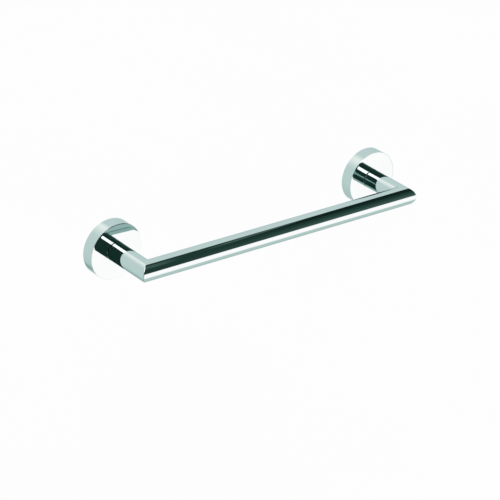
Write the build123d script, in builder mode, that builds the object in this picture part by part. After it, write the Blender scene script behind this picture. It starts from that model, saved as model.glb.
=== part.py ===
from build123d import *
from math import cos, radians, tan
import os

# Towel rail of mitred round tube on two round flanges, fixed to the wall by hidden plates.
# Lengths are millimetres. The origin lies in the plane of the wall, half way between the two legs.
# +X runs along the rail to the right, +Y goes into the wall and +Z is up, so the rail stands out
# towards -Y, and "out" below is a distance from the wall in that direction.

# Rail of three tubes, joined at two square corners
fixing_centres = 305.0  # between the axes of the two legs
projection = 57.0  # from the wall to the axis of the front tube
tube_diameter = 19.0
tube_wall = 1.2
foot_gap = 0.6  # height of the shadow gap round the foot of each leg
foot_step = 0.7  # depth of that gap

# Flange, a round cup that opens to the wall
flange_diameter = 55.0
flange_wall = 2.5
flange_face = 3.0

# Wall plate, a disc that the flange slips over, with an undercut rim
plate_depth = 6.0
plate_clearance = 0.2  # all round, inside the flange
plate_land = 1.0  # thickness of the rim in front of the undercut
undercut_depth = 2.5  # how far the back of the rim is cut in
head_room = 3.7  # between the plate and the face of the flange

# Slots in the wall plate for two wall screws, one above the other
slot_width = 4.5
slot_length = 8.0
slot_head_width = 8.5
slot_head_depth = 3.0
slot_land = 1.75  # metal between a slot and the window in the middle

# Grub screw, up through the bottom of the flange, where its cone bears on the undercut
grub_diameter = 4.0
grub_length = 4.0
grub_tip = 0.5  # flat on the end of the cone
bite_angle = 90.0  # of the cone, and twice the slope of the undercut
bite_depth = 1.75  # of the cone behind the rim of the plate
bite_gap = 0.05  # between the cone and the undercut
grub_socket = 2.0  # across flats
grub_socket_depth = 2.0

# Retaining screw, from inside the flange into the insert in the leg
screw_diameter = 6.0
screw_length = 16.0  # under the head
head_diameter = 10.5
head_height = 3.3
head_socket = 4.0  # across flats
head_socket_depth = 2.1
screw_clearance = 0.2  # round the shank, in the flange and the washer
head_clearance = 1.25  # round the head, in the window of the wall plate
thread_gap = 0.05  # round a thread, between screw and metal

# Spring washer, pulled flat under the head of the retaining screw
washer_diameter = 11.8
washer_thickness = 1.6
washer_split = 1.5
washer_slant = 20.0  # degrees that the split leans

# Insert, a tapped plug in the foot of each leg
insert_length = 15.0
insert_gap = 0.05  # all round, in the bore of the leg

# What follows from the sizes above
half_span = fixing_centres / 2
tube_radius = tube_diameter / 2
bore_radius = tube_radius - tube_wall
flange_radius = flange_diameter / 2
cup_depth = plate_depth + head_room
flange_depth = cup_depth + flange_face
cup_radius = flange_radius - flange_wall
plate_radius = cup_radius - plate_clearance
window_radius = head_diameter / 2 + head_clearance
slot_offset = window_radius + slot_land + slot_head_width / 2
half_bite = radians(bite_angle / 2)
undercut_radius = plate_radius - undercut_depth
undercut_front = plate_depth - plate_land
undercut_back = undercut_front - undercut_depth * tan(half_bite)
bite_out = undercut_front - bite_depth * tan(half_bite) - bite_gap / cos(half_bite)
grub_radius = grub_diameter / 2
cone_length = (grub_diameter - grub_tip) / 2 / tan(half_bite)
tip_reach = plate_radius - bite_depth + grub_tip / 2 / tan(half_bite)
grub_end = tip_reach + grub_length
screw_radius = screw_diameter / 2
screw_hole = screw_radius + screw_clearance
washer_seat = cup_depth - washer_thickness
washer_middle = cup_depth - washer_thickness / 2
head_top = washer_seat - head_height
screw_tip = washer_seat + screw_length
washer_lean = washer_thickness / 2 * tan(radians(washer_slant))
insert_radius = bore_radius - insert_gap


def corner_plane(sign):
    """The cut between the front tube and one leg, facing the leg."""
    return Plane(origin=(sign * half_span, -projection, 0), z_dir=(sign, 1, 0))


os.makedirs("parts", exist_ok=True)

# Front tube, cut at 45 degrees at both ends
with BuildPart() as front_tube:
    with BuildSketch(Plane(origin=(0, -projection, 0), z_dir=(1, 0, 0))):
        Circle(tube_radius)
        Circle(bore_radius, mode=Mode.SUBTRACT)
    extrude(amount=half_span + tube_radius, both=True)
    for sign in (-1, 1):
        split(bisect_by=corner_plane(sign), keep=Keep.BOTTOM)
front_tube.part.label = "front_tube"
export_step(front_tube.part, "parts/front_tube.step")

for side, sign in (("left", -1), ("right", 1)):
    # Planes at this leg: square to its axis, through its axis, at the grub screw and at the washer's split
    centre = (sign * half_span, 0, 0)
    leg_axis = Axis(centre, (0, -1, 0))
    wall_plane = Plane(origin=centre, x_dir=(1, 0, 0), z_dir=(0, -1, 0))
    section_plane = Plane(origin=centre, x_dir=(1, 0, 0), z_dir=(0, 0, -1))
    grub_centre = (sign * half_span, -bite_out, 0)
    grub_axis = Axis(grub_centre, (0, 0, -1))
    grub_plane = Plane(origin=grub_centre, x_dir=(1, 0, 0), z_dir=(0, 0, -1))
    grub_section = Plane(origin=grub_centre, x_dir=(1, 0, 0), z_dir=(0, 1, 0))
    split_centre = (sign * half_span, -washer_middle, 0)
    split_plane = Plane(origin=split_centre, x_dir=(1, 0, 0), z_dir=(0, 0, 1))

    # Leg, from the face of the flange to the corner
    with BuildPart() as leg_tube:
        with BuildSketch(wall_plane.offset(flange_depth)):
            Circle(tube_radius)
            Circle(bore_radius, mode=Mode.SUBTRACT)
        extrude(amount=projection + tube_radius - flange_depth)
        split(bisect_by=corner_plane(sign), keep=Keep.TOP)
        with BuildSketch(wall_plane.offset(flange_depth)):
            Circle(tube_radius)
            Circle(tube_radius - foot_step, mode=Mode.SUBTRACT)
        extrude(amount=foot_gap, mode=Mode.SUBTRACT)

    # Tapped insert, flush with the foot of the leg
    with BuildPart() as leg_insert:
        with BuildSketch(wall_plane.offset(flange_depth)):
            Circle(insert_radius)
            Circle(screw_radius + thread_gap, mode=Mode.SUBTRACT)
        extrude(amount=insert_length)

    # Flange, turned as a cup, with a hole for the retaining screw and a tapped one for the grub screw
    with BuildPart() as flange:
        with BuildSketch(section_plane):
            with BuildLine():
                Polyline(
                    (cup_radius, 0),
                    (flange_radius, 0),
                    (flange_radius, flange_depth),
                    (screw_hole, flange_depth),
                    (screw_hole, cup_depth),
                    (cup_radius, cup_depth),
                    close=True,
                )
            make_face()
        revolve(axis=leg_axis)
        with BuildSketch(grub_plane):
            Circle(grub_radius + thread_gap)
        extrude(amount=flange_diameter, mode=Mode.SUBTRACT)

    # Wall plate, with its rim undercut, a window for the screw head and two slots
    with BuildPart() as wall_plate:
        with BuildSketch(section_plane):
            with BuildLine():
                Polyline(
                    (window_radius, 0),
                    (undercut_radius, 0),
                    (undercut_radius, undercut_back),
                    (plate_radius, undercut_front),
                    (plate_radius, plate_depth),
                    (window_radius, plate_depth),
                    close=True,
                )
            make_face()
        revolve(axis=leg_axis)
        with BuildSketch(wall_plane):
            with GridLocations(0, 2 * slot_offset, 1, 2):
                SlotOverall(slot_length, slot_width)
        extrude(amount=plate_depth, mode=Mode.SUBTRACT)
        with BuildSketch(wall_plane.offset(plate_depth)):
            with GridLocations(0, 2 * slot_offset, 1, 2):
                SlotOverall(slot_length + slot_head_width - slot_width, slot_head_width)
        extrude(amount=-slot_head_depth, mode=Mode.SUBTRACT)

    # Grub screw, cone end up behind the rim of the plate, socket end below
    with BuildPart() as grub_screw:
        with BuildSketch(grub_section):
            with BuildLine():
                Polyline(
                    (0, tip_reach),
                    (grub_tip / 2, tip_reach),
                    (grub_radius, tip_reach + cone_length),
                    (grub_radius, grub_end),
                    (0, grub_end),
                    close=True,
                )
            make_face()
        revolve(axis=grub_axis)
        with BuildSketch(grub_plane.offset(grub_end)):
            RegularPolygon(radius=grub_socket / 2, side_count=6, major_radius=False)
        extrude(amount=-grub_socket_depth, mode=Mode.SUBTRACT)

    # Spring washer, against the inner face of the flange
    with BuildPart() as spring_washer:
        with BuildSketch(wall_plane.offset(washer_seat)):
            Circle(washer_diameter / 2)
            Circle(screw_hole, mode=Mode.SUBTRACT)
        extrude(amount=washer_thickness)
        with BuildSketch(split_plane):
            with BuildLine():
                Polyline(
                    (-washer_split / 2 - washer_lean, -washer_thickness / 2),
                    (washer_split / 2 - washer_lean, -washer_thickness / 2),
                    (washer_split / 2 + washer_lean, washer_thickness / 2),
                    (-washer_split / 2 + washer_lean, washer_thickness / 2),
                    close=True,
                )
            make_face()
        extrude(amount=washer_diameter, mode=Mode.SUBTRACT)

    # Retaining screw, head towards the wall, shank out through the flange into the insert
    with BuildPart() as retaining_screw:
        with BuildSketch(section_plane):
            with BuildLine():
                Polyline(
                    (head_diameter / 2, washer_seat),
                    (screw_radius, washer_seat),
                    (screw_radius, screw_tip),
                    (0, screw_tip),
                    (0, head_top),
                    (head_diameter / 2, head_top),
                    close=True,
                )
            make_face()
        revolve(axis=leg_axis)
        with BuildSketch(wall_plane.offset(head_top)):
            RegularPolygon(radius=head_socket / 2, side_count=6, major_radius=False)
        extrude(amount=head_socket_depth, mode=Mode.SUBTRACT)

    for piece, built in (
        ("leg_tube", leg_tube),
        ("leg_insert", leg_insert),
        ("flange", flange),
        ("wall_plate", wall_plate),
        ("grub_screw", grub_screw),
        ("spring_washer", spring_washer),
        ("retaining_screw", retaining_screw),
    ):
        built.part.label = f"{side}_{piece}"
        export_step(built.part, f"parts/{side}_{piece}.step")
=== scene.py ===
"""Looks of a chrome towel rail: a U of mitred round tube on two round flanges, with its hidden wall fixings.

Lengths are metres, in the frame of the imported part: +X runs along the rail, +Y into the wall and +Z up.
A round piece is shaped about the Z axis first, with its height as the distance from the wall, and then put in
its place.
"""

import logging
import math
from collections.abc import Callable, Iterable, Sequence
from dataclasses import dataclass
from enum import Enum
from functools import cache
from typing import ClassVar

import bmesh
import bpy
from bmesh.types import BMEdge, BMesh, BMVert
from bpy.types import Material, Node, NodeSocket, NodeTree, Object, ShaderNodeTree
from mathutils import Euler, Matrix, Vector


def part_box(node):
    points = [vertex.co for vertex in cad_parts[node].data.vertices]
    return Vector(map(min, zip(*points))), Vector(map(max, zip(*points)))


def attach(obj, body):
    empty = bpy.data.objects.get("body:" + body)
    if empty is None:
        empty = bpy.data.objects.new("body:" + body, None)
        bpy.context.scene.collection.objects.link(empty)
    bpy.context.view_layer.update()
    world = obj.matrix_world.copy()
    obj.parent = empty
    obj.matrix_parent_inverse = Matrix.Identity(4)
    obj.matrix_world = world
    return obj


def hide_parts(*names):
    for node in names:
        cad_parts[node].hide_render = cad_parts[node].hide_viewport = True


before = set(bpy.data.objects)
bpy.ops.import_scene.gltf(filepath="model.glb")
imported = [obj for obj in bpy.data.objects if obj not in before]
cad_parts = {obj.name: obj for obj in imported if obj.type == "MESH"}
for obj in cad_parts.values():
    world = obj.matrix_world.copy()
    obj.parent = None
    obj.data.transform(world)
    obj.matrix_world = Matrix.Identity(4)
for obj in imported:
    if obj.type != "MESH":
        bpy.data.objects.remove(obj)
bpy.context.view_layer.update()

BODY = "root"
MM = 0.001
WELD = 1e-7
NEAR = 1e-6
SHARP_ANGLE = math.radians(32)
ROUND_STEPS = 192
SMALL_STEPS = 72
EDGE_STEPS = 4
ROUND_PROFILE = 0.5
ROLL_STEPS = 12

log = logging.getLogger("towel_rail")

Colour = tuple[float, float, float, float]
Pair = tuple[float, float]
Span = tuple[float, float, float]
Outline = Sequence[Pair]
Feed = float | Sequence[float] | NodeSocket


class Side(Enum):
    """The two ends of the rail."""

    LEFT = "left"
    RIGHT = "right"

    def node(self, piece: str) -> str:
        """Name of this end's CAD node for a piece."""
        return f"{self.value}_{piece}"


class Slot(Enum):
    """The material slots of the record."""

    CHROME = "polished_chrome"
    BRASS = "turned_brass"
    ZINC = "cast_zinc"
    STEEL = "screw_steel"

    @property
    def metal(self) -> str:
        """The metal alone."""
        return self.value.split("_")[-1]


class Cut(Enum):
    """The ways that two closed shapes are put together."""

    ADD = "UNION"
    TAKE_AWAY = "DIFFERENCE"
    KEEP_COMMON = "INTERSECT"


class Facing(Enum):
    """The directions that the axis of a round piece can have."""

    ALONG_RAIL = Euler((0.0, 0.0, math.pi / 2))
    INTO_WALL = Euler((0.0, 0.0, 0.0))
    UPRIGHT = Euler((math.pi / 2, 0.0, 0.0))


@dataclass(frozen=True)
class Extent:
    """The corners of a CAD node at rest."""

    low: Vector
    high: Vector

    @classmethod
    def of(cls, node: str) -> "Extent":
        """Read the corners of a CAD node."""
        return cls(*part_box(node))

    @property
    def middle(self) -> Vector:
        """The point half way between the corners."""
        return (self.low + self.high) / 2

    @property
    def size(self) -> Vector:
        """The three lengths between the corners."""
        return self.high - self.low


def srgb(*levels: int) -> Colour:
    """Turn a colour on the usual 0 to 255 scale into linear light.

    Args:
        levels: Its red, green and blue.

    Returns:
        The opaque colour.
    """
    toe, slope, offset, power, most = 0.04045, 12.92, 0.055, 2.4, 255

    def light(share: float) -> float:
        """Linear light of one channel."""
        return share / slope if share <= toe else ((share + offset) / (1 + offset)) ** power

    return (*(light(level / most) for level in levels), 1.0)


def place_object(shape: BMesh, name: str) -> Object:
    """Put a shape in the scene.

    Args:
        shape: The shape, which is used up.
        name: Name of the object.

    Returns:
        The object.
    """
    mesh = bpy.data.meshes.new(name)
    shape.to_mesh(mesh)
    shape.free()
    made = bpy.data.objects.new(name, mesh)
    bpy.context.scene.collection.objects.link(made)
    return made


def spin(outline: Outline, hollow: bool, steps: int, turns: int = 1, pitch: float = 0.0) -> BMesh:
    """Spin an outline round the Z axis.

    Args:
        outline: Points of the outline, each a radius and a height.
        hollow: Whether the outline closes on itself.
        steps: Number of sides of each turn.
        turns: Number of turns.
        pitch: How far each turn rises. Without a rise the turn closes on itself.

    Returns:
        The surface.
    """
    shape = bmesh.new()
    points = [shape.verts.new((radius, 0.0, height)) for radius, height in outline]
    following = points[1:] + points[:1] if hollow else points[1:]
    sides = [shape.edges.new(pair) for pair in zip(points, following)]
    bmesh.ops.spin(
        shape,
        geom=points + sides,
        cent=(0, 0, 0),
        axis=(0, 0, 1),
        dvec=(0, 0, pitch / steps),
        angle=math.tau * turns,
        steps=steps * turns,
        use_merge=not pitch,
    )
    bmesh.ops.remove_doubles(shape, verts=shape.verts[:], dist=WELD)
    return shape


def lathe(outline: Outline, steps: int = ROUND_STEPS, hollow: bool = False) -> BMesh:
    """Spin an outline once round the Z axis.

    Args:
        outline: Points of the outline, each a radius and a height.
        steps: Number of sides of the round.
        hollow: Whether the outline closes on itself, and not on the axis.

    Returns:
        The closed shape.
    """
    shape = spin(outline, hollow, steps)
    bmesh.ops.recalc_face_normals(shape, faces=shape.faces[:])
    return shape


def round_edges(shape: BMesh, edges: Sequence[BMEdge], radius: float) -> None:
    """Round off some edges of a shape.

    Args:
        shape: The shape, which is changed.
        edges: The edges to round.
        radius: How far the rounding reaches from each edge.
    """
    bmesh.ops.bevel(
        shape,
        geom=list(edges),
        offset=radius,
        offset_type="OFFSET",
        segments=EDGE_STEPS,
        profile=ROUND_PROFILE,
        affect="EDGES",
        clamp_overlap=True,
        material=-1,
    )


def edges_where(shape: BMesh, test: Callable[[Vector], bool]) -> list[BMEdge]:
    """Find the edges of a shape whose two ends both pass a test."""
    return [edge for edge in shape.edges if all(test(vert.co) for vert in edge.verts)]


def round_rings(shape: BMesh, rounding: float, *rings: Pair) -> None:
    """Round off rings of a lathe shape.

    Args:
        shape: The shape, still about the Z axis, which is changed.
        rounding: How far the rounding reaches from each ring.
        rings: Radius and height of each ring.
    """
    for ring in rings:
        spot = Vector(ring)
        edges = edges_where(shape, lambda at: (Vector((at.xy.length, at.z)) - spot).length < NEAR)
        round_edges(shape, edges, rounding)


def one_face(corners: Iterable[Sequence[float]]) -> BMesh:
    """Make a shape of one face.

    Args:
        corners: Its corners, in order.

    Returns:
        The open shape.
    """
    shape = bmesh.new()
    shape.faces.new([shape.verts.new(corner) for corner in corners])
    return shape


def thicken(shape: BMesh, depth: float) -> BMesh:
    """Extrude the one face of a flat shape upwards.

    Args:
        shape: The flat shape, which is changed.
        depth: How far its face is extruded.

    Returns:
        The same shape, now closed.
    """
    grown = bmesh.ops.extrude_face_region(shape, geom=shape.faces[:])["geom"]
    verts = [item for item in grown if isinstance(item, BMVert)]
    bmesh.ops.translate(shape, verts=verts, vec=(0, 0, depth))
    bmesh.ops.recalc_face_normals(shape, faces=shape.faces[:])
    return shape


def prism(outline: Iterable[Sequence[float]], low: float, high: float) -> BMesh:
    """Extrude an outline of x and y points from one height to another."""
    return thicken(one_face((x, y, low) for x, y in outline), high - low)


def hex_key(across_flats: float, depth: float, top: float) -> BMesh:
    """Make a six-sided bar that cuts a socket.

    Args:
        across_flats: Distance between two opposite flats.
        depth: Depth of the socket.
        top: Height of the face that the socket goes into. The bar goes as far to either side of it.

    Returns:
        The closed shape.
    """
    sides = 6
    reach = Vector((across_flats / 2 / math.cos(math.pi / sides), 0))
    corners = [reach @ Matrix.Rotation(-corner * math.tau / sides, 2) for corner in range(sides)]
    return prism(corners, top - depth, top + depth)


def slot_tool(length: float, width: float, middle: float, low: float, high: float) -> BMesh:
    """Make a round-ended bar that cuts a slot.

    Args:
        length: Overall length of the slot, along x.
        width: Width of the slot.
        middle: Where the slot lies along y.
        low: Height of the bar's lower end.
        high: Height of its upper end.

    Returns:
        The closed shape.
    """
    shape = bmesh.new()
    half_turn = Matrix.Rotation(math.pi / SMALL_STEPS, 4, "Z")
    place = Matrix.Translation((0, middle, low))
    bmesh.ops.create_circle(
        shape, cap_ends=True, segments=SMALL_STEPS, radius=width / 2, matrix=place @ half_turn
    )
    for sign in (-1, 1):
        end = [vert for vert in shape.verts if vert.co.x * sign > 0]
        bmesh.ops.translate(shape, verts=end, vec=(sign * (length - width) / 2, 0, 0))
    return thicken(shape, high - low)


def carve(shape: BMesh, tool: BMesh, cut: Cut) -> BMesh:
    """Put two closed shapes together. Both are used up.

    Args:
        shape: The shape to work on.
        tool: The shape that it is joined to, cut by or kept within.
        cut: Which of these is done.

    Returns:
        The resulting shape.
    """
    body, cutter = place_object(shape, "body"), place_object(tool, "cutter")
    boolean = body.modifiers.new("cut", "BOOLEAN")
    boolean.operation = cut.value
    boolean.solver = "EXACT"
    boolean.object = cutter
    result = bmesh.new()
    result.from_object(body, bpy.context.evaluated_depsgraph_get())
    for helper in (body, cutter):
        mesh = helper.data
        bpy.data.objects.remove(helper)
        bpy.data.meshes.remove(mesh)
    return result


def bisect(shape: BMesh, point: Vector, normal: Vector) -> None:
    """Cut a shape with a plane and drop what lies in front of it.

    Args:
        shape: The shape, which is changed and left open at the cut.
        point: A point of the plane.
        normal: Direction of the side that is dropped.
    """
    everything = [*shape.verts, *shape.edges, *shape.faces]
    bmesh.ops.bisect_plane(
        shape, geom=everything, dist=NEAR, plane_co=point, plane_no=normal, clear_outer=True
    )


@dataclass(frozen=True)
class Thread:
    """A vee thread.

    Attributes:
        crest: Radius at its crests.
        pitch: Distance from one crest to the next.
        steps: Number of sides of each turn.
        slope: Angle between a flank and the axis.
        flank: Length of a flank along the axis, as a share of the pitch.
        root_flat: Length of the flat between two flanks, as a share of the pitch.
        spare: Turns past each end, which are cut off.
    """

    crest: float
    pitch: float
    steps: int = 48
    slope: float = math.radians(60)
    flank: float = 5 / 16
    root_flat: float = 1 / 4
    spare: int = 2

    def rod(self, low: float, high: float) -> BMesh:
        """Sweep the thread along its screw line and cut it off square.

        Args:
            low: Height of the lower end.
            high: Height of the upper end.

        Returns:
            The closed threaded rod.
        """
        flank = self.flank * self.pitch
        root_flat = self.root_flat * self.pitch
        root = self.crest - flank * math.tan(self.slope)
        start = low - self.spare * self.pitch
        turns = math.ceil((high - low) / self.pitch) + 2 * self.spare
        outline = (
            (root, start),
            (root, start + root_flat),
            (self.crest, start + root_flat + flank),
            (self.crest, start + self.pitch - flank),
            (root, start + self.pitch),
        )
        shape = spin(outline, hollow=False, steps=self.steps, turns=turns, pitch=self.pitch)
        bisect(shape, Vector((0, 0, low)), Vector((0, 0, -1)))
        bisect(shape, Vector((0, 0, high)), Vector((0, 0, 1)))
        bmesh.ops.holes_fill(shape, edges=[edge for edge in shape.edges if edge.is_boundary], sides=0)
        bmesh.ops.recalc_face_normals(shape, faces=shape.faces[:])
        return shape


@dataclass(frozen=True)
class Graph:
    """A node tree, with short calls that add its nodes and link them."""

    tree: NodeTree

    def add(self, kind: str, *feeds: Feed, **settings: object) -> Node:
        """Add a node.

        Args:
            kind: Blender's name of the kind of node.
            feeds: What its first inputs get, in order.
            settings: Its properties.

        Returns:
            The node.
        """
        node = self.tree.nodes.new(kind)
        for key, value in settings.items():
            setattr(node, key, value)
        for socket, value in zip(node.inputs, feeds):
            self.feed(socket, value)
        return node

    def feed(self, socket: NodeSocket, value: Feed) -> None:
        """Give an input its value.

        Args:
            socket: The input.
            value: The value, or the output that it comes from.
        """
        if isinstance(value, NodeSocket):
            self.tree.links.new(value, socket)
        else:
            socket.default_value = value

    def math(self, operation: str, *values: Feed) -> NodeSocket:
        """Work on one or two values, by Blender's name of the operation."""
        return self.add("ShaderNodeMath", *values, operation=operation).outputs[0]

    def both(self, first: Feed, second: Feed) -> NodeSocket:
        """Multiply two shares, or a value and how much of it counts."""
        return self.math("MULTIPLY", first, second)

    def step(self, value: Feed, start: float, full: float) -> NodeSocket:
        """Go smoothly from 0 to 1 while a value goes from start to full."""
        node = self.add("ShaderNodeMapRange", value, start, full, interpolation_type="SMOOTHSTEP")
        return node.outputs["Result"]

    def span(self, value: Feed, low: float, high: float, soft: float) -> NodeSocket:
        """Give 1 from low to high and 0 outside them, with soft as half the width of each edge."""
        rise = self.step(value, low - soft, low + soft)
        return self.both(rise, self.step(value, high + soft, high - soft))

    def here(self) -> NodeSocket:
        """Where a point is in the object's own space."""
        return self.add("ShaderNodeTexCoord").outputs["Object"]

    def split(self, vector: NodeSocket) -> tuple[NodeSocket, ...]:
        """The x, y and z of a vector."""
        return tuple(self.add("ShaderNodeSeparateXYZ", vector).outputs)

    def glow(self, colour: Feed) -> NodeSocket:
        """Light of one colour."""
        return self.add("ShaderNodeEmission", colour).outputs[0]

    def clear(self) -> NodeSocket:
        """Nothing at all, so that what lies behind shows."""
        return self.add("ShaderNodeBsdfTransparent").outputs[0]

    def show(self, kind: str, *parts: Feed) -> None:
        """Put shaders together with one kind of node, and show the result as the surface."""
        self.add("ShaderNodeOutputMaterial", self.add(kind, *parts).outputs[0])

    def scale(self, value: Feed, low: Feed, high: Feed) -> NodeSocket:
        """Stretch a value from the range 0 to 1 onto the range from low to high."""
        return self.add("ShaderNodeMapRange", value, 0.0, 1.0, low, high, clamp=False).outputs["Result"]

    def mix(self, share: Feed, first: Feed, second: Feed) -> NodeSocket:
        """Mix two colours.

        Args:
            share: How much of the second colour there is.
            first: The first colour.
            second: The second colour.

        Returns:
            The mixed colour.
        """
        node = self.add("ShaderNodeMix", share, data_type="RGBA")
        colours = (socket for socket in node.inputs if socket.type == "RGBA")
        for socket, colour in zip(colours, (first, second)):
            self.feed(socket, colour)
        return next(socket for socket in node.outputs if socket.type == "RGBA")

    def noise(self, vector: NodeSocket, scale: Feed, detail: float) -> NodeSocket:
        """Add soft noise.

        Args:
            vector: Where it is looked up.
            scale: How fine it is.
            detail: How many finer layers it has.

        Returns:
            Its value.
        """
        node = self.add("ShaderNodeTexNoise", vector)
        self.feed(node.inputs["Scale"], scale)
        self.feed(node.inputs["Detail"], detail)
        return node.outputs["Fac"]


def effect(name: str, measure: str, result: str) -> tuple[Graph, NodeSocket, NodeSocket, NodeSocket]:
    """Start a shader node group that reads a place and one measure, and gives one value.

    Args:
        name: Name of the group.
        measure: Name of the measure.
        result: Name of the value.

    Returns:
        The group's graph, with the place, the measure and the socket that takes the value.
    """
    tree = bpy.data.node_groups.new(name, "ShaderNodeTree")
    tree.interface.new_socket("Vector", in_out="INPUT", socket_type="NodeSocketVector")
    tree.interface.new_socket(measure, in_out="INPUT", socket_type="NodeSocketFloat")
    tree.interface.new_socket(result, in_out="OUTPUT", socket_type="NodeSocketFloat")
    graph = Graph(tree)
    given = graph.add("NodeGroupInput").outputs
    return graph, given["Vector"], given[measure], graph.add("NodeGroupOutput").inputs[result]


@cache
def turned_lines() -> ShaderNodeTree:
    """Fine lines that a tool or a buffing wheel leaves round the Y axis of a piece.

    Returns:
        The node group.
    """
    graph, place, density, line = effect("turned_lines", "Lines per Metre", "Line")
    x, y, z = graph.split(place)
    radius = graph.math("SQRT", graph.math("ADD", graph.both(x, x), graph.both(z, z)))
    around = graph.add("ShaderNodeCombineXYZ", radius, y).outputs[0]
    graph.feed(line, graph.noise(around, density, detail=3))
    return graph.tree


@cache
def handling_haze() -> ShaderNodeTree:
    """Soft patches, a little duller, where hands and cloths have been.

    Returns:
        The node group.
    """
    clean, hazed = 0.42, 0.68
    graph, place, density, haze = effect("handling_haze", "Patches per Metre", "Haze")
    graph.feed(haze, graph.step(graph.noise(place, density, detail=4), clean, hazed))
    return graph.tree


@cache
def gap_shade_mask() -> ShaderNodeTree:
    """Mask of the gap at a leg's foot, up to a distance out from the wall: there the metal gets painted
    shade, and it is rougher.

    Returns:
        The node group.
    """
    polished, shaded = -0.05 * MM, 0.03 * MM
    graph, place, reach, dull = effect("gap_shade_mask", "Reach", "Dull")
    _, into, _ = graph.split(place)
    graph.feed(dull, graph.step(graph.math("ADD", into, reach), polished, shaded))
    return graph.tree


# Painted shade in the gap at a leg's foot: the dark colour mixed into the metal there, and the roughness
# added there.
GAP_PAINTED_SHADE = (0.20, 0.31, 0.29, 1.0)
GAP_ROUGHNESS = 0.5


@dataclass(frozen=True)
class Finish:
    """A metal finish with turned lines and handling haze.

    Attributes:
        slot: The record's slot that it belongs to.
        colour: Colour of the clean metal.
        hazed: Colour where the metal is hazed.
        roughness: Roughness of the clean and of the hazed metal.
        lines: How many turned lines there are to a metre.
        line_depth: How deep the turned lines are.
        line_roughness: How much a turned line adds to the roughness.
        patches: How many patches of haze there are to a metre.
        grain: How many grains there are to a metre.
        grain_depth: How deep the grain is.
        edge_tint: Share of its light that the metal keeps where it is seen edge on.
    """

    slot: Slot
    colour: Colour
    hazed: Colour
    roughness: tuple[float, float]
    lines: float
    line_depth: float
    line_roughness: float
    patches: float
    grain: float
    grain_depth: float
    edge_tint: Colour = (0.9, 0.9, 0.9, 1.0)

    def material(self, name: str, centre: Vector, facing: Facing, gap_shade_reach: float = 0.0) -> Material:
        """Make the finish for one piece.

        Args:
            name: Name of the piece.
            centre: A point on the piece's axis.
            facing: Direction of that axis.
            gap_shade_reach: How far out from the centre the metal is darkened with painted shade and made
                rougher, for the gap at a leg's foot.

        Returns:
            The material.
        """
        material = bpy.data.materials.new(f"{self.slot.value}_{name}")
        material.use_nodes = True
        graph = Graph(material.node_tree)
        shader = material.node_tree.nodes["Principled BSDF"]
        shader.inputs["Metallic"].default_value = 1.0
        shader.inputs["Specular Tint"].default_value = self.edge_tint
        spot = graph.add("ShaderNodeMapping", graph.here(), centre, facing.value, vector_type="TEXTURE")
        place = spot.outputs["Vector"]
        line = self.effect_output(graph, turned_lines(), place, self.lines)
        haze = self.effect_output(graph, handling_haze(), place, self.patches)
        colour = graph.mix(haze, self.colour, self.hazed)
        dull = graph.scale(haze, *self.roughness)
        # Painted shade in the gap at a leg's foot: the colour is darkened there and the roughness raised.
        if gap_shade_reach:
            shaded = self.effect_output(graph, gap_shade_mask(), place, gap_shade_reach)
            colour = graph.mix(shaded, colour, GAP_PAINTED_SHADE)
            dull = graph.math("ADD", dull, graph.both(shaded, GAP_ROUGHNESS))
        graph.feed(shader.inputs["Base Color"], colour)
        added = graph.both(line, self.line_roughness)
        graph.feed(shader.inputs["Roughness"], graph.math("ADD", dull, added))
        lines = graph.both(line, self.line_depth / MM)
        grain = graph.both(graph.noise(place, self.grain, detail=2), self.grain_depth / MM)
        bump = graph.add("ShaderNodeBump")
        bump.inputs["Distance"].default_value = MM
        graph.feed(bump.inputs["Height"], graph.math("ADD", lines, grain))
        graph.feed(shader.inputs["Normal"], bump.outputs["Normal"])
        return material

    @staticmethod
    def effect_output(graph: Graph, group: ShaderNodeTree, place: NodeSocket, scale: float) -> NodeSocket:
        """Place an effect in a material, with the coordinates and the scale that it reads."""
        return graph.add("ShaderNodeGroup", place, scale, node_tree=group).outputs[0]


CHROME = Finish(
    slot=Slot.CHROME,
    colour=(0.56, 0.68, 0.67, 1.0),
    hazed=(0.55, 0.67, 0.66, 1.0),
    edge_tint=(0.74, 0.82, 0.82, 1.0),
    roughness=(0.018, 0.034),
    lines=4200.0,
    line_depth=0.00003 * MM,
    line_roughness=0.016,
    patches=34.0,
    grain=150.0,
    grain_depth=0.0006 * MM,
)
ZINC = Finish(
    slot=Slot.ZINC,
    colour=(0.60, 0.62, 0.63, 1.0),
    hazed=(0.47, 0.49, 0.50, 1.0),
    roughness=(0.34, 0.50),
    lines=900.0,
    line_depth=0.0006 * MM,
    line_roughness=0.04,
    patches=160.0,
    grain=2600.0,
    grain_depth=0.012 * MM,
)
STEEL = Finish(
    slot=Slot.STEEL,
    colour=(0.66, 0.67, 0.68, 1.0),
    hazed=(0.50, 0.51, 0.53, 1.0),
    roughness=(0.20, 0.34),
    lines=5200.0,
    line_depth=0.002 * MM,
    line_roughness=0.10,
    patches=420.0,
    grain=3000.0,
    grain_depth=0.002 * MM,
)
BRASS = Finish(
    slot=Slot.BRASS,
    colour=(0.80, 0.61, 0.30, 1.0),
    hazed=(0.62, 0.44, 0.20, 1.0),
    roughness=(0.20, 0.34),
    lines=3600.0,
    line_depth=0.003 * MM,
    line_roughness=0.10,
    patches=240.0,
    grain=2000.0,
    grain_depth=0.002 * MM,
)


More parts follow.
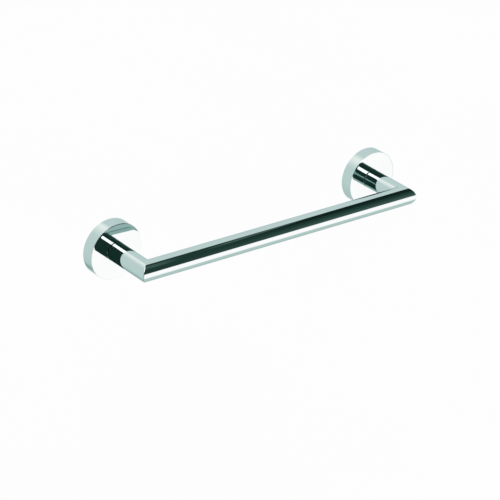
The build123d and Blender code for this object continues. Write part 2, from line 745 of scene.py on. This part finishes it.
def add_piece(
    shape: BMesh, finish: Finish, node: str, centre: Vector, facing: Facing, gap_shade_reach: float = 0.0
) -> Object:
    """Make a shape a piece that rides on the part and stands for one CAD node.

    Args:
        shape: The shape in its place. It is used up.
        finish: The metal that it has.
        node: The CAD node.
        centre: A point on the piece's axis.
        facing: Direction of that axis.
        gap_shade_reach: How far out from the centre the metal is darkened with painted shade and made
            rougher, for the gap at a leg's foot.

    Returns:
        The piece.
    """
    for face in shape.faces:
        face.smooth = True
    for edge in shape.edges:
        edge.smooth = edge.is_manifold and edge.calc_face_angle() < SHARP_ANGLE
    piece = place_object(shape, f"{finish.slot.metal}_{node}")
    piece.data.materials.append(finish.material(node, centre, facing, gap_shade_reach))
    normals = piece.modifiers.new("normals", "WEIGHTED_NORMAL")
    normals.keep_sharp = True
    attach(piece, BODY)
    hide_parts(node)
    return piece


@dataclass
class Rail:
    """The front tube and the two legs, joined at mitred corners.

    Attributes:
        half_span: Half the distance between the axes of the legs.
        projection: Distance from the wall to the axis of the front tube.
        radius: Outside radius of the tube.
        foot: Distance from the wall to the foot of each leg.
        wall: Thickness of the tube.
        mitre_edge: Rounding along each mitred corner.
        foot_gap: Height of the shadow gap at the foot of each leg.
        foot_step: Depth of that gap.
        foot_edge: Rounding of its outer edge.
    """

    half_span: float
    projection: float
    radius: float
    foot: float
    wall: float = 1.2 * MM
    mitre_edge: float = 0.5 * MM
    foot_gap: float = 0.4 * MM
    foot_step: float = 0.7 * MM
    foot_edge: float = 0.5 * MM

    @classmethod
    def from_frame(cls) -> "Rail":
        """Take the sizes from the CAD nodes."""
        bar, leg = Extent.of("front_tube"), Extent.of(Side.LEFT.node("leg_tube"))
        return cls(half_span=-leg.middle.x, projection=-bar.middle.y, radius=leg.size.x / 2, foot=-leg.high.y)

    def corner(self, sign: int) -> Vector:
        """The point where the axes of the front tube and a leg cross."""
        return Vector((sign * self.half_span, -self.projection, 0))

    def resized(self, sign: int, share: float) -> Matrix:
        """Make a ring round a leg wider or narrower."""
        axis = Matrix.Translation((sign * self.half_span, 0, 0))
        return axis @ Matrix.Diagonal((share, 1, share, 1)) @ axis.inverted()

    def swept(self, radius: float, step: float) -> BMesh:
        """Sweep a circle up one leg, along the front tube and down the other leg.

        Args:
            radius: Radius of the circle.
            step: How much smaller the circle is in the gap at each foot.

        Returns:
            The open surface, with a ring of edges at each foot and each mitre.
        """
        shape = bmesh.new()
        foot = Matrix.Translation((-self.half_span, -self.foot, 0)) @ Matrix.Rotation(math.pi / 2, 4, "X")
        bmesh.ops.create_circle(shape, segments=ROUND_STEPS, radius=radius - step, matrix=foot)
        edges = shape.edges[:]
        share = radius / (radius - step)
        gap_top = self.foot + self.foot_gap
        corner = self.corner(-1)
        mitre = Matrix.Identity(4)
        mitre[1][0] = 1
        to_mitre = Matrix.Translation(corner) @ mitre @ Matrix.Translation(-corner)
        to_mitre = to_mitre @ Matrix.Translation((0, gap_top - self.projection, 0))
        across = Matrix.Scale(-1, 4, Vector((1, 0, 0)))
        flat = Matrix.Scale(0, 4, Vector((0, 1, 0)))
        rise = Matrix.Translation((0, -self.foot_gap, 0))
        to_gap = Matrix.Translation((0, -gap_top, 0)) @ flat
        widen, narrow = self.resized(-1, share), self.resized(1, 1 / share)
        moves = (rise, widen, to_mitre, across, to_gap, narrow, rise.inverted())
        for move in moves:
            grown = bmesh.ops.extrude_edge_only(shape, edges=edges)["geom"]
            verts = [item for item in grown if isinstance(item, BMVert)]
            fresh = set(verts)
            edges = [item for item in grown if isinstance(item, BMEdge) and fresh.issuperset(item.verts)]
            bmesh.ops.transform(shape, matrix=move, verts=verts)
        bmesh.ops.recalc_face_normals(shape, faces=shape.faces[:])
        return shape

    def mitre_ring(self, shape: BMesh) -> list[BMEdge]:
        """Find the edges on the mitres.

        Args:
            shape: A swept surface.

        Returns:
            The edges of both mitres.
        """
        found = []
        for sign in (-1, 1):
            corner, normal = self.corner(sign), self.mitre_normal(sign)
            found += edges_where(shape, lambda at: abs((at - corner).dot(normal)) < NEAR)
        return found

    @staticmethod
    def mitre_normal(sign: int) -> Vector:
        """Direction square to a mitre, towards the leg."""
        return Vector((sign, 1, 0)).normalized()

    def tube(self, cuts: Sequence[tuple[Vector, Vector]]) -> BMesh:
        """Cut one tube out of the swept rail.

        Args:
            cuts: A point and the dropped side's direction for each plane that cuts it.

        Returns:
            The closed tube with its bore.
        """
        shape = bmesh.new()
        held = bpy.data.meshes.new("skin")
        bore_radius = self.radius - self.wall
        for radius, step, edge in ((bore_radius, 0.0, 0.0), (self.radius, self.foot_step, self.mitre_edge)):
            skin = self.swept(radius, step)
            if edge:
                round_edges(skin, self.mitre_ring(skin), edge)
            for point, normal in cuts:
                bisect(skin, point, normal)
            skin.to_mesh(held)
            skin.free()
            shape.from_mesh(held)
        bpy.data.meshes.remove(held)
        ends: dict[int, list[BMEdge]] = {}
        for edge in [edge for edge in shape.edges if edge.is_boundary]:
            middle = (edge.verts[0].co + edge.verts[1].co) / 2
            ends.setdefault(self.end_of(middle), []).append(edge)
        for edges in ends.values():
            bmesh.ops.bridge_loops(shape, edges=edges)
        bmesh.ops.recalc_face_normals(shape, faces=shape.faces[:])
        return shape

    def end_of(self, point: Vector) -> int:
        """Which end of a tube a point of its open edges belongs to: a foot is 0 and a mitre is its sign."""
        at_foot = abs(point.y + self.foot) < NEAR
        return 0 if at_foot else int(math.copysign(1, point.x))

    def dress(self) -> list[Object]:
        """Build the three tubes and give them their chrome.

        Returns:
            The front tube and the two legs.
        """
        bar = self.tube([(self.corner(sign), self.mitre_normal(sign)) for sign in (-1, 1)])
        pieces = [add_piece(bar, CHROME, "front_tube", self.corner(1), Facing.ALONG_RAIL)]
        gap_top = self.foot + self.foot_gap
        for side, sign in zip(Side, (-1, 1)):
            leg = self.tube([(self.corner(sign), -self.mitre_normal(sign))])
            lost = [vert for vert in leg.verts if vert.co.x * sign < 0]
            bmesh.ops.delete(leg, geom=lost, context="VERTS")
            centre = Vector((sign * self.half_span, 0, 0))
            round_edges(leg, edges_where(leg, lambda at: self.on_foot(at - centre)), self.foot_edge)
            # The leg gets painted shade, and more roughness, in the gap at its foot.
            pieces.append(add_piece(leg, CHROME, side.node("leg_tube"), centre, Facing.INTO_WALL, gap_top))
        return pieces

    def on_foot(self, at: Vector) -> bool:
        """Whether a point, seen from the leg's axis at the wall, is on the outer edge above the gap."""
        return abs(at.y + self.foot + self.foot_gap) < NEAR and abs(at.xz.length - self.radius) < NEAR


@dataclass
class EndPiece:
    """A piece at one end of the rail, shaped about the Z axis and then put in its place.

    Attributes:
        part: Its name at either end.
        finish: The metal that it has.
        facing: Direction of its axis.
        turn: How far it is turned about the rail to be put in its place.
        side: Which end of the rail it is at.
    """

    part: ClassVar[str]
    finish: ClassVar[Finish]
    facing: ClassVar[Facing] = Facing.INTO_WALL
    turn: ClassVar[float] = math.pi / 2

    side: Side

    def cad(self, part: str) -> Extent:
        """Extent of a CAD node at the same end."""
        return Extent.of(self.side.node(part))

    @property
    def radius(self) -> float:
        """Outside radius."""
        return self.cad(self.part).size.z / 2

    @property
    def near(self) -> float:
        """Distance from the wall to the end that is nearer to it."""
        return -self.cad(self.part).high.y

    @property
    def far(self) -> float:
        """Distance from the wall to the other end."""
        return -self.cad(self.part).low.y

    @property
    def centre(self) -> Vector:
        """Where the foot of its axis is put."""
        return Vector((self.cad(self.part).middle.x, 0, 0))

    def build(self) -> BMesh:
        """Build the shape about the Z axis."""
        raise NotImplementedError

    def dress(self) -> list[Object]:
        """Build the shape, put it in its place and give it its finish.

        Returns:
            The piece alone.
        """
        shape = self.build()
        place = Matrix.Translation(self.centre) @ Matrix.Rotation(self.turn, 4, "X")
        bmesh.ops.transform(shape, matrix=place, verts=shape.verts[:])
        return [add_piece(shape, self.finish, self.side.node(self.part), self.centre, self.facing)]


@dataclass
class Flange(EndPiece):
    """A round cup that opens to the wall and covers the wall plate.

    Attributes:
        wall: Thickness of its rim.
        face: Thickness of its face.
        screw_hole: Radius of the hole for the retaining screw.
        grub_hole: Radius of the tapped hole for the grub screw.
        hollow: Radius of the very shallow hollow of its face.
        seat: Radius of the flat seat that the leg stands on.
        roll: Width of the ring round the face that polishing has rolled off.
        roll_angle: How steep the face has become at its edge.
        edge: Rounding of the edges.
        hole_flare: How much wider the tapped hole is at its mouth.
    """

    part = "flange"
    finish = CHROME

    wall: float = 2.5 * MM
    face: float = 3.0 * MM
    screw_hole: float = 3.2 * MM
    grub_hole: float = 2.05 * MM
    hollow: float = 1.6
    seat: float = 8.7 * MM
    roll: float = 2.2 * MM
    roll_angle: float = math.radians(6.3)
    edge: float = 0.12 * MM
    hole_flare: float = 0.3 * MM

    def face_curve(self) -> list[Pair]:
        """Follow the face, a shallow hollow that rolls off towards its edge.

        Returns:
            Radius and height of its points, from the edge inwards.
        """
        brim = self.radius - self.roll
        rise = brim / self.hollow
        bend = (rise + math.tan(self.roll_angle)) / self.roll
        level = self.far - rise**2 / bend / 2
        rolled = [self.roll * step / ROLL_STEPS for step in range(ROLL_STEPS, -1, -1)]
        inwards = [brim + (self.seat - brim) * step / ROLL_STEPS for step in range(1, ROLL_STEPS + 1)]
        return [
            *((brim + way, level + rise * way - bend * way**2 / 2) for way in rolled),
            *((radius, level - (brim**2 - radius**2) / self.hollow / 2) for radius in inwards),
            (self.seat, self.far),
            (self.screw_hole, self.far),
        ]

    def build(self) -> BMesh:
        """Build the cup, with its holes.

        Returns:
            The cup, about the Z axis.
        """
        inside = self.radius - self.wall
        floor = self.far - self.face
        front = self.face_curve()
        outline = ((inside, 0.0), (self.radius, 0.0), *front, (self.screw_hole, floor), (inside, floor))
        cup = lathe(outline, hollow=True)
        round_rings(cup, self.edge, front[0], (self.radius, 0.0), (inside, 0.0))
        flare = self.radius - self.hole_flare
        beyond = self.radius + self.wall
        drill = lathe(
            (
                (0.0, inside - self.wall),
                (self.grub_hole, inside - self.wall),
                (self.grub_hole, flare),
                (self.grub_hole + beyond - flare, beyond),
                (0.0, beyond),
            ),
            steps=SMALL_STEPS,
        )
        grub_out = -self.cad("grub_screw").middle.y
        down = Matrix.Translation((0, 0, grub_out)) @ Matrix.Rotation(math.pi / 2, 4, "X")
        bmesh.ops.transform(drill, matrix=down, verts=drill.verts[:])
        return carve(cup, drill, Cut.TAKE_AWAY)


@dataclass
class WallPlate(EndPiece):
    """The disc on the wall that a flange slips over, with an undercut rim and two screw slots.

    Attributes:
        land: Thickness of the rim in front of the undercut.
        undercut: How far the undercut goes in, and how far it slopes back.
        window: Radius of the window for the screw head.
        slot: Length and width of a slot.
        recess: Length, width and depth of the recess for a screw head at a slot.
        slot_middle: Distance from the axis to the middle of a slot.
        edge: Rounding of the edges.
    """

    part = "wall_plate"
    finish = ZINC

    land: float = 1.0 * MM
    undercut: float = 2.5 * MM
    window: float = 6.5 * MM
    slot: Pair = (8.0 * MM, 4.5 * MM)
    recess: tuple[float, float, float] = (12.0 * MM, 8.5 * MM, 3.0 * MM)
    slot_middle: float = 12.5 * MM
    edge: float = 0.25 * MM

    def build(self) -> BMesh:
        """Build the plate, with its slots.

        Returns:
            The plate, about the Z axis.
        """
        depth = self.far
        neck = self.radius - self.undercut
        front = depth - self.land
        disc = lathe(
            (
                (self.window, 0.0),
                (neck, 0.0),
                (neck, front - self.undercut),
                (self.radius, front),
                (self.radius, depth),
                (self.window, depth),
            ),
            hollow=True,
        )
        rings = ((self.window, depth), (self.radius, depth), (self.window, 0.0), (neck, 0.0))
        round_rings(disc, self.edge, *rings)
        long, wide, deep = self.recess
        for middle in (-self.slot_middle, self.slot_middle):
            through = slot_tool(*self.slot, middle, -depth, 2 * depth)
            disc = carve(disc, through, Cut.TAKE_AWAY)
            recess = slot_tool(long, wide, middle, depth - deep, 2 * depth)
            disc = carve(disc, recess, Cut.TAKE_AWAY)
        return disc


@dataclass
class RetainingScrew(EndPiece):
    """The socket screw that pulls a leg onto its flange.

    Attributes:
        thread: The thread of the shank.
        socket: Size across the flats of the socket, and its depth.
        head_edge: Rounding round the top of the head.
        lead: Length of the chamfer at the tip.
    """

    part = "retaining_screw"
    finish = STEEL

    thread: Thread = Thread(crest=3.0 * MM, pitch=1.0 * MM)
    socket: Pair = (4.0 * MM, 2.1 * MM)
    head_edge: float = 0.6 * MM
    lead: float = 0.7 * MM

    def build(self) -> BMesh:
        """Build the screw, with its thread and socket.

        Returns:
            The screw, about the Z axis.
        """
        top, seat, tip = self.near, -self.cad("spring_washer").high.y, self.far
        inside, past = (top + seat) / 2, self.thread.crest + self.lead
        envelope = lathe(
            (
                (0.0, inside - self.lead),
                (past, inside - self.lead),
                (past, tip - 2 * self.lead),
                (self.thread.crest - self.lead, tip),
                (0.0, tip),
            ),
            steps=SMALL_STEPS,
        )
        shank = carve(self.thread.rod(inside, tip), envelope, Cut.KEEP_COMMON)
        head = lathe(((0.0, top), (self.radius, top), (self.radius, seat), (0.0, seat)), steps=SMALL_STEPS)
        round_rings(head, self.head_edge, (self.radius, top))
        screw = carve(head, shank, Cut.ADD)
        return carve(screw, hex_key(*self.socket, top), Cut.TAKE_AWAY)


@dataclass
class SpringWasher(EndPiece):
    """The split washer under the head of a retaining screw.

    Attributes:
        hole: Radius of its hole.
        gap: Width of the split.
        slant: How far the split leans.
        edge: Rounding of its edges.
    """

    part = "spring_washer"
    finish = STEEL

    hole: float = 3.2 * MM
    gap: float = 1.5 * MM
    slant: float = math.radians(20)
    edge: float = 0.2 * MM

    @property
    def radius(self) -> float:
        """Outside radius, taken along the rail because the split takes some of it below."""
        return self.cad(self.part).size.x / 2

    def build(self) -> BMesh:
        """Build the washer, with its split.

        Returns:
            The washer, about the Z axis.
        """
        low, high = self.near, self.far
        outline = ((self.hole, low), (self.radius, low), (self.radius, high), (self.hole, high))
        washer = lathe(outline, steps=SMALL_STEPS, hollow=True)
        round_rings(washer, self.edge, *outline)
        half_gap = self.gap / 2
        far = 2 * self.radius
        across = ((-half_gap, 0.0), (half_gap, 0.0), (half_gap, far), (-half_gap, far))
        saw = prism(across, 2 * low - high, 2 * high - low)
        lean = Matrix.Identity(4)
        lean[0][2] = -math.tan(self.slant)
        middle = Matrix.Translation((0, 0, (low + high) / 2))
        bmesh.ops.transform(saw, matrix=middle @ lean @ middle.inverted(), verts=saw.verts[:])
        return carve(washer, saw, Cut.TAKE_AWAY)


@dataclass
class GrubScrew(EndPiece):
    """The cone-ended screw that locks a flange onto its wall plate.

    Attributes:
        thread: The thread of the screw.
        tip_radius: Radius of the flat on the cone.
        socket: Size across the flats of the socket, and its depth.
        edge: Chamfer at the socket end.
    """

    part = "grub_screw"
    finish = STEEL
    facing = Facing.UPRIGHT
    turn = math.pi

    thread: Thread = Thread(crest=2.0 * MM, pitch=0.7 * MM)
    tip_radius: float = 0.25 * MM
    socket: Pair = (2.0 * MM, 2.0 * MM)
    edge: float = 0.3 * MM

    @property
    def centre(self) -> Vector:
        """The point of the leg's axis that the screw points at."""
        return Vector((self.cad("flange").middle.x, self.cad(self.part).middle.y, 0))

    def build(self) -> BMesh:
        """Build the screw, with its thread and socket.

        Returns:
            The screw, about the Z axis.
        """
        crest = self.thread.crest
        tip, end = -self.cad(self.part).high.z, -self.cad(self.part).low.z
        envelope = lathe(
            (
                (0.0, tip),
                (self.tip_radius, tip),
                (crest, tip + crest - self.tip_radius),
                (crest, end - self.edge),
                (crest - self.edge, end),
                (0.0, end),
            ),
            steps=SMALL_STEPS,
        )
        screw = carve(self.thread.rod(tip, end), envelope, Cut.KEEP_COMMON)
        return carve(screw, hex_key(*self.socket, end), Cut.TAKE_AWAY)


@dataclass
class LegInsert(EndPiece):
    """The tapped plug inside a leg, which keeps its CAD shape because nothing shows it."""

    part = "leg_insert"
    finish = BRASS

    def dress(self) -> list[Object]:
        """Give the CAD node's own object its finish.

        Returns:
            That object alone.
        """
        name = self.side.node(self.part)
        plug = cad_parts[name]
        brass = self.finish.material(name, self.centre, self.facing)
        for slot in plug.material_slots:
            slot.material = brass
        return [plug]


PAPER = srgb(254, 254, 254)
DARK = srgb(29, 54, 47)


@dataclass(frozen=True)
class Walls:
    """What the polished metal mirrors, by direction round the rail.

    A bearing is in degrees about the length of the rail: 0 is straight out from the wall, 90 is up,
    180 is into the wall and -90 is down. A lean is the share of a direction that points to the right.
    A fade is a pair: where something starts to show and where it shows in full. The colours are as the
    chrome shows them.

    Attributes:
        backdrop: What a camera sees behind the object.
        behind: The pale room behind and above, seen to the right.
        behind_left: The same to the left.
        below: The floor in front.
        white: The white screen in front, low and to the right.
        dull: The same near its right and lower edges.
        dark: The dark room in front and above.
        dark_low: The same near the level of the rail, far to the right.
        black: The darkest of it, high and far to the right.
        glint: A faint slanting streak across the dark, and a patch to the left of it.
        horizon: A dull line low down behind, where the room meets the floor.
        top_edge: Bearing where the dark room ends overhead.
        level_edge: Bearing where the white screen ends at the level of the rail.
        low_edge: Bearing where the white screen meets the floor.
        soft: Half the width of these three edges.
        behind_fade: Fade, by lean, from the left to the right of the room behind.
        below_fade: Fade, by height, from that room to the floor.
        horizon_fade: Fade of the horizon by lean.
        horizon_span: Bearings of its two edges and half the width of each.
        lift_fade: Fade, by lean, to where the edges in front lie higher.
        lift: How much higher they lie.
        drop_lean: Lean beyond which the edge overhead comes down.
        drop: How far it comes down for each unit of lean.
        left_fade: Fade, by lean, of the dark at the left front.
        screen_fade: Fade of the white screen by lean.
        right_rim: Fade of its dull right edge by lean.
        low_rim: Fade of its dull lower edge by bearing.
        low_rim_share: How dull that edge gets.
        low_fades: Fades, by lean and by bearing, of the dark near the level of the rail.
        black_fades: Fades, by lean and by bearing, of the darkest part.
        streak_slope: How far the streak climbs for each unit of lean.
        streak_spans: Its edges along and across it, each pair with half the width of an edge.
        patch_spans: The edges of the patch by bearing and by lean, in the same way.
        patch_share: How much of the glint the patch has.
    """

    backdrop: Colour = PAPER
    behind: Colour = srgb(187, 208, 206)
    behind_left: Colour = srgb(182, 205, 202)
    below: Colour = srgb(176, 200, 196)
    white: Colour = srgb(251, 253, 252)
    dull: Colour = srgb(228, 235, 233)
    dark: Colour = DARK
    dark_low: Colour = srgb(59, 87, 81)
    black: Colour = srgb(16, 35, 30)
    glint: Colour = srgb(68, 97, 89)
    horizon: Colour = srgb(122, 149, 147)
    top_edge: float = 96.2
    level_edge: float = -4.0
    low_edge: float = -56.4
    soft: float = 1.5
    behind_fade: Pair = (-0.6, 0.6)
    below_fade: Pair = (-0.35, -0.75)
    horizon_fade: Pair = (0.3, 0.45)
    horizon_span: Span = (-134.5, -122.0, 2.0)
    lift_fade: Pair = (0.56, 0.62)
    lift: float = 1.3
    drop_lean: float = 0.595
    drop: float = 85.0
    left_fade: Pair = (-0.16, -0.30)
    screen_fade: Pair = (0.22, 0.36)
    right_rim: Pair = (0.64, 0.74)
    low_rim: Pair = (-38.0, -54.0)
    low_rim_share: float = 0.4
    low_fades: tuple[Pair, Pair] = ((0.54, 0.64), (52.0, 0.0))
    black_fades: tuple[Pair, Pair] = ((0.575, 0.60), (54.0, 68.0))
    streak_slope: float = 763.0
    streak_spans: tuple[Span, Span] = ((-372.0, -359.0, 6.0), (0.574, 0.60, 0.005))
    patch_spans: tuple[Span, Span] = ((47.0, 77.0, 5.0), (0.53, 0.559, 0.003))
    patch_share: float = 0.7

    @staticmethod
    def mirrored(colour: Colour) -> Colour:
        """The light that the chrome shows as a colour."""
        return tuple(light / tint for light, tint in zip(colour, CHROME.colour))

    def build(self) -> None:
        """Paint the world."""
        world = bpy.data.worlds.new("studio_walls")
        bpy.context.scene.world = world
        world.use_nodes = True
        graph = Graph(world.node_tree)
        lean, into, up = graph.split(graph.add("ShaderNodeTexCoord").outputs["Generated"])
        bearing = graph.math("DEGREES", graph.math("ARCTAN2", up, graph.both(into, -1.0)))
        turn = graph.step(lean, *self.behind_fade)
        room = graph.mix(turn, self.mirrored(self.behind_left), self.mirrored(self.behind))
        room = graph.mix(graph.step(up, *self.below_fade), room, self.mirrored(self.below))
        line = graph.both(graph.step(lean, *self.horizon_fade), graph.span(bearing, *self.horizon_span))
        room = graph.mix(line, room, self.mirrored(self.horizon))
        lifted = graph.math("SUBTRACT", bearing, graph.both(graph.step(lean, *self.lift_fade), self.lift))
        in_front = graph.span(lifted, self.low_edge, self.level_edge, self.soft)
        far_right = graph.math("MAXIMUM", graph.math("SUBTRACT", lean, self.drop_lean), 0.0)
        lowered = graph.math("SUBTRACT", lifted, graph.both(far_right, self.drop))
        overhead = graph.both(
            graph.step(lifted, self.level_edge - self.soft, self.level_edge + self.soft),
            graph.step(lowered, self.top_edge + self.soft, self.top_edge - self.soft),
        )
        left_front = graph.both(in_front, graph.step(lean, *self.left_fade))
        in_dark = graph.math("ADD", overhead, left_front)
        room = graph.mix(in_dark, room, self.dark_room(graph, lean, bearing))
        low_rim = graph.both(graph.step(bearing, *self.low_rim), self.low_rim_share)
        rim = graph.math("MAXIMUM", graph.step(lean, *self.right_rim), low_rim)
        screen = graph.both(in_front, graph.step(lean, *self.screen_fade))
        white = graph.mix(rim, self.mirrored(self.white), self.mirrored(self.dull))
        room = graph.mix(screen, room, white)
        sight = graph.add("ShaderNodeLightPath").outputs["Is Camera Ray"]
        background = world.node_tree.nodes["Background"]
        graph.feed(background.inputs["Color"], graph.mix(sight, room, self.backdrop))

    def dark_room(self, graph: Graph, lean: NodeSocket, bearing: NodeSocket) -> NodeSocket:
        """Shade the dark room in front.

        Args:
            graph: The world's graph.
            lean: Lean of a direction.
            bearing: Bearing of that direction.

        Returns:
            The colour in that direction.
        """
        dark: Feed = self.mirrored(self.dark)
        for (by_lean, by_bearing), colour in (
            (self.low_fades, self.dark_low),
            (self.black_fades, self.black),
        ):
            share = graph.both(graph.step(lean, *by_lean), graph.step(bearing, *by_bearing))
            dark = graph.mix(share, dark, self.mirrored(colour))
        slant = graph.math("SUBTRACT", bearing, graph.both(lean, self.streak_slope))
        glints = []
        for way, (first, by_lean) in ((slant, self.streak_spans), (bearing, self.patch_spans)):
            glints.append(graph.both(graph.span(way, *first), graph.span(lean, *by_lean)))
        streak, patch = glints
        glint = graph.math("MAXIMUM", streak, graph.both(patch, self.patch_share))
        return graph.mix(glint, dark, self.mirrored(self.glint))


def stage(shape: BMesh, name: str, material: Material, hidden_from: str) -> None:
    """Put a flat shape in the studio, where it neither lights the rest nor casts a shadow.

    Args:
        shape: The shape, which is used up.
        name: Its name.
        material: What it is made of.
        hidden_from: What else can't see it, either the camera or glossy metal.
    """
    sheet = place_object(shape, name)
    sheet.data.materials.append(material)
    for ray in (hidden_from, "diffuse", "shadow"):
        setattr(sheet, f"visible_{ray}", False)


def hang_sheet(name: str, corners: Iterable[Sequence[float]], material: Material) -> None:
    """Hang a flat sheet, given its corners, where only polished metal can see it."""
    stage(one_face(corners), name, material, hidden_from="camera")


def bare_material(name: str) -> tuple[Material, Graph]:
    """Start a material that has no nodes yet.

    Args:
        name: Name of the material.

    Returns:
        The material and its graph.
    """
    material = bpy.data.materials.new(name)
    material.use_nodes = True
    material.node_tree.nodes.clear()
    return material, Graph(material.node_tree)


@dataclass(frozen=True)
class Softbox:
    """A long soft lamp overhead, from front to back, bright in front and dim and wide behind.

    Attributes:
        right_edge: Where its right edge lies, along the rail and above it.
        left_edge: Where its left edge lies.
        front_reach: How far its left and right edges go to the front.
        back_reach: How far it goes to the back.
        spread: How far its dim part goes beyond each edge, as a share of its width.
        front: Its light in front.
        back: Its light behind.
        edge_fade: Fade of its edges in front, in half widths from its middle.
        back_fade: Fade, towards the wall, from the light in front to the light behind.
    """

    right_edge: Pair = (0.061, 1.120)
    left_edge: Pair = (-0.400, 0.657)
    front_reach: Pair = (0.735, 1.20)
    back_reach: float = 2.0
    spread: float = 0.55
    front: Colour = (3.5, 2.7, 2.76, 1.0)
    back: Colour = (0.48, 0.32, 0.31, 1.0)
    edge_fade: Pair = (1.06, 0.92)
    back_fade: Pair = (-0.2, 0.2)

    def build(self) -> None:
        """Hang the lamp."""
        right, left = Vector(self.right_edge), Vector(self.left_edge)
        more = (right - left) * self.spread
        (far_left, low), (far_right, high) = left - more, right + more
        near, far = self.front_reach
        slant = (far - near) * self.spread
        corners = (
            (far_left, slant - near, low),
            (far_left, self.back_reach, low),
            (far_right, self.back_reach, high),
            (far_right, -slant - far, high),
        )
        hang_sheet("softbox", corners, self.material())

    def material(self) -> Material:
        """Make the lamp's light, which adds to what lies behind it.

        Returns:
            The material.
        """
        material, graph = bare_material("softbox_light")
        x, y, _ = graph.split(graph.here())
        right, left = self.right_edge[0], self.left_edge[0]
        middle, half = (right + left) / 2, (right - left) / 2
        off_middle = graph.math("ABSOLUTE", graph.math("SUBTRACT", x, middle))
        crisp = graph.step(off_middle, *(share * half for share in self.edge_fade))
        soft = graph.step(off_middle, half * (1 + 2 * self.spread), 0.0)
        unlit = (0.0, 0.0, 0.0, 1.0)
        front, back = graph.mix(crisp, unlit, self.front), graph.mix(soft, unlit, self.back)
        light = graph.glow(graph.mix(graph.step(y, *self.back_fade), front, back))
        graph.show("ShaderNodeAddShader", light, graph.clear())
        return material


@dataclass(frozen=True)
class DarkCard:
    """A dark card that lies level, low down, with soft ends.

    Attributes:
        name: Name of the card.
        level: Its height.
        across: Where it starts and ends along the rail.
        into: Where it starts and ends towards the wall.
        soft: Width of its soft ends.
        paint: Its colour, as the chrome shows it.
    """

    name: str
    level: float
    across: Pair
    into: Pair
    soft: float
    paint: Colour

    def build(self) -> None:
        """Lay the card."""
        (left, right), (near, far) = self.across, self.into
        corners = ((left, near), (right, near), (right, far), (left, far))
        material, graph = bare_material(self.name)
        x, _, _ = graph.split(graph.here())
        half = self.soft / 2
        there = graph.span(x, left + half, right - half, half)
        graph.show("ShaderNodeMixShader", there, graph.clear(), graph.glow(Walls.mirrored(self.paint)))
        hang_sheet(self.name, [(*corner, self.level) for corner in corners], material)


FRONT_CARD = DarkCard(
    name="front_card",
    level=-0.44,
    across=(-1.6, 0.036),
    into=(-7.0, -0.12),
    soft=0.006,
    paint=DARK,
)
BACK_CARD = DarkCard(
    name="back_card",
    level=-0.15,
    across=(-0.235, -0.115),
    into=(0.07, 0.18),
    soft=0.08,
    paint=srgb(116, 148, 144),
)


@dataclass(frozen=True)
class Floor:
    """A plain pale floor, well below the rail.

    Attributes:
        level: Height of the floor.
        reach: Half its width.
        paint: Its colour.
        shade: The colour of its faint mottling.
        mottling: How many patches of that there are to a metre.
    """

    level: float = -0.45
    reach: float = 60.0
    paint: Colour = PAPER
    shade: Colour = srgb(253, 253, 253)
    mottling: float = 3.0

    def build(self) -> None:
        """Lay the floor."""
        shape = bmesh.new()
        level = Matrix.Translation((0, 0, self.level))
        bmesh.ops.create_grid(shape, x_segments=1, y_segments=1, size=self.reach, matrix=level)
        stage(shape, "floor", self.material(), hidden_from="glossy")

    def material(self) -> Material:
        """Make the floor's paint, which is clear from below.

        Returns:
            The material.
        """
        material, graph = bare_material("floor_paint")
        patches = graph.noise(graph.here(), self.mottling, detail=2)
        light = graph.glow(graph.mix(patches, self.paint, self.shade))
        from_below = graph.add("ShaderNodeNewGeometry").outputs["Backfacing"]
        graph.show("ShaderNodeMixShader", from_below, light, graph.clear())
        return material


@dataclass(frozen=True)
class Viewpoint:
    """Where the picture is taken from.

    Attributes:
        azimuth: Direction of the camera about the vertical, in degrees, 0 being in front of the rail.
        elevation: Height of the camera over the horizon, in degrees.
        roll: How far the camera is turned about its line of sight, in degrees.
        distance: Distance from the camera to the point that it looks at.
        target: The point that it looks at.
        lens: Focal length of the lens on a sensor of that width, both in millimetres.
        sensor: Width of the sensor.
    """

    azimuth: float = -40.7408
    elevation: float = 26.4172
    roll: float = 4.517
    distance: float = 2.3933
    target: tuple[float, float, float] = (-0.014367, -0.035, -0.024327)
    lens: float = 186.218
    sensor: float = 36.0

    def build(self) -> None:
        """Set up the camera."""
        around, over = math.radians(self.azimuth), math.radians(self.elevation)
        back = Vector(
            (math.sin(around) * math.cos(over), -math.cos(around) * math.cos(over), math.sin(over))
        )
        right = Vector((math.cos(around), math.sin(around), 0))
        axes = Matrix((right, back.cross(right), back)).transposed()
        axes = axes @ Matrix.Rotation(math.radians(self.roll), 3, "Z")
        data = bpy.data.cameras.new("camera")
        data.lens = self.lens
        data.sensor_width = self.sensor
        camera = bpy.data.objects.new("camera", data)
        camera.matrix_world = Matrix.LocRotScale(Vector(self.target) + back * self.distance, axes, None)
        bpy.context.scene.collection.objects.link(camera)
        bpy.context.scene.camera = camera


def main() -> None:
    """Build the studio and every piece of the rail."""
    logging.basicConfig(level=logging.INFO, format="%(message)s")
    bpy.context.scene.view_settings.view_transform = "Standard"
    for fitting in (Walls(), Softbox(), FRONT_CARD, BACK_CARD, Floor(), Viewpoint()):
        fitting.build()
    assemblies: list[Rail | EndPiece] = [Rail.from_frame()]
    for kind in (Flange, WallPlate, RetainingScrew, SpringWasher, GrubScrew, LegInsert):
        assemblies += [kind(side) for side in Side]
    for assembly in assemblies:
        for piece in assembly.dress():
            log.info("%s: %d faces", piece.name, len(piece.data.polygons))


if __name__ == "__main__":
    main()
